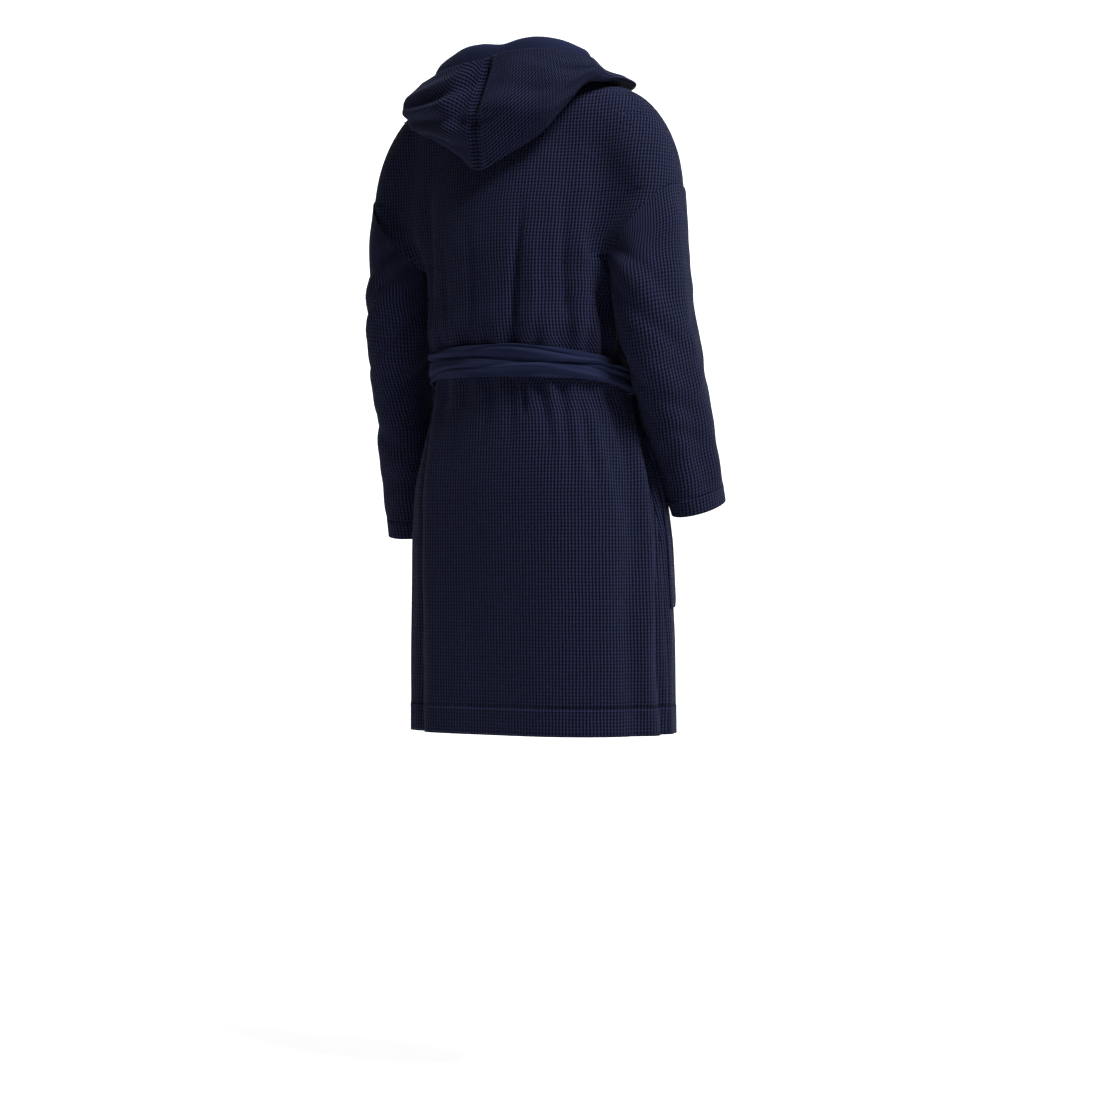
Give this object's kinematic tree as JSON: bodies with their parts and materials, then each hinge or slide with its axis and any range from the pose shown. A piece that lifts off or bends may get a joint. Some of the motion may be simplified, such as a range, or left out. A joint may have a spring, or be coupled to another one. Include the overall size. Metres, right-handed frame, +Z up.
{
  "type": "hooded bathrobe",
  "caption": "Hooded waffle-knit bathrobe, worn and tied: folded hood, dropped sleeves, wrap front, tied belt, patch pockets and hanging loop.",
  "frame": {"origin": "middle of the neck opening, at the height where the wearer's shoulders carry the robe", "axes": "+Z up, -Y the front of the robe, +X the wearer's left"},
  "size_m": [0.6251, 0.3643, 1.0867],
  "materials": {
    "waffle_knit": "matte waffle knit",
    "jersey_knit": "matte smooth jersey"
  },
  "bodies": {
    "torso": {"back_panel": "waffle_knit", "back_hem": "waffle_knit", "left_front_upper": "waffle_knit", "left_front_lower": "waffle_knit", "left_front_hem": "waffle_knit", "right_front": "waffle_knit", "right_front_hem": "waffle_knit", "left_facing_upper": "jersey_knit", "right_facing": "jersey_knit", "neck_tape": "jersey_knit", "belt": "jersey_knit", "belt_knot": "jersey_knit", "left_belt_loop": "jersey_knit", "right_belt_loop": "jersey_knit", "left_pocket": "waffle_knit", "right_pocket": "waffle_knit", "left_pocket_band": "jersey_knit", "right_pocket_band": "jersey_knit"},
    "front_lap": {"left_front_flap": "waffle_knit", "left_flap_hem": "waffle_knit", "left_flap_facing": "jersey_knit"},
    "hood": {"hood_left_panel": "waffle_knit", "hood_right_panel": "waffle_knit", "hood_left_lining": "jersey_knit", "hood_right_lining": "jersey_knit"},
    "left_arm": {"left_sleeve": "waffle_knit", "left_cuff": "waffle_knit"},
    "right_arm": {"right_sleeve": "waffle_knit", "right_cuff": "waffle_knit"},
    "left_tail": {"left_belt_tail": "jersey_knit"},
    "right_tail": {"right_belt_tail": "jersey_knit"},
    "hanger": {"hanging_loop": "jersey_knit"}
  },
  "joints": [
    {"name": "hood_raise", "type": "hinge", "parent": "torso", "child": "hood", "pos_m": [0, 0.084, 0.01], "axis": [1, 0, 0], "range_deg": [0, 110]},
    {"name": "left_sleeve_raise", "type": "hinge", "parent": "torso", "child": "left_arm", "pos_m": [0.15, 0, -0.106], "axis": [0, -1, 0], "range_deg": [0, 55]},
    {"name": "right_sleeve_raise", "type": "hinge", "parent": "torso", "child": "right_arm", "pos_m": [-0.15, 0, -0.106], "axis": [0, 1, 0], "range_deg": [0, 55]},
    {"name": "front_lap_open", "type": "hinge", "parent": "torso", "child": "front_lap", "pos_m": [0.06, -0.14087, -0.556], "axis": [-0.0406, 0.102, 0.994], "range_deg": [0, 60]},
    {"name": "left_tail_swing", "type": "hinge", "parent": "torso", "child": "left_tail", "pos_m": [0.1362, -0.10584, -0.521], "axis": [-0.7942, -0.6077, 0], "range_deg": [0, 70]},
    {"name": "right_tail_swing", "type": "hinge", "parent": "torso", "child": "right_tail", "pos_m": [0.1158, -0.11915, -0.521], "axis": [-0.7942, -0.6077, 0], "range_deg": [0, 70]},
    {"name": "hanging_loop_flip", "type": "hinge", "parent": "torso", "child": "hanger", "pos_m": [0, 0.0555, 0.003], "axis": [-1, 0, 0], "range_deg": [0, 80]}
  ]
}
